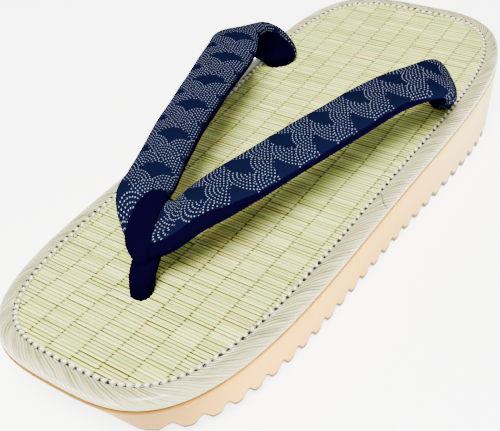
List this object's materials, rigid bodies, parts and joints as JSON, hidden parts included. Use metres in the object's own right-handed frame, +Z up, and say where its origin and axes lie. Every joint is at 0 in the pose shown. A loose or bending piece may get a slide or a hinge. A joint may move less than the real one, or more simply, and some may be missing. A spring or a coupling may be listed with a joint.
{
  "type": "zori sandal",
  "caption": "Wedge-soled Japanese sandal with a bound rush footbed, a padded V strap and a toe post",
  "frame": {"origin": "middle of the footprint, on the floor", "axes": "+Z up, +Y from toe to heel, +X to the wearer's left"},
  "size_m": [0.107, 0.2648, 0.0597],
  "materials": {
    "sole": "matt moulded foam",
    "rush_mat": "woven rush, satin",
    "edge_binding": "pearly woven tape",
    "strap_face": "matt printed cotton",
    "strap_underside": "velvet",
    "toe_post": "velvet"
  },
  "bodies": {
    "root": {"sole": "sole", "rush_mat": "rush_mat", "edge_binding": "edge_binding", "strap_face": "strap_face", "strap_underside": "strap_underside", "toe_post": "toe_post"}
  },
  "joints": []
}
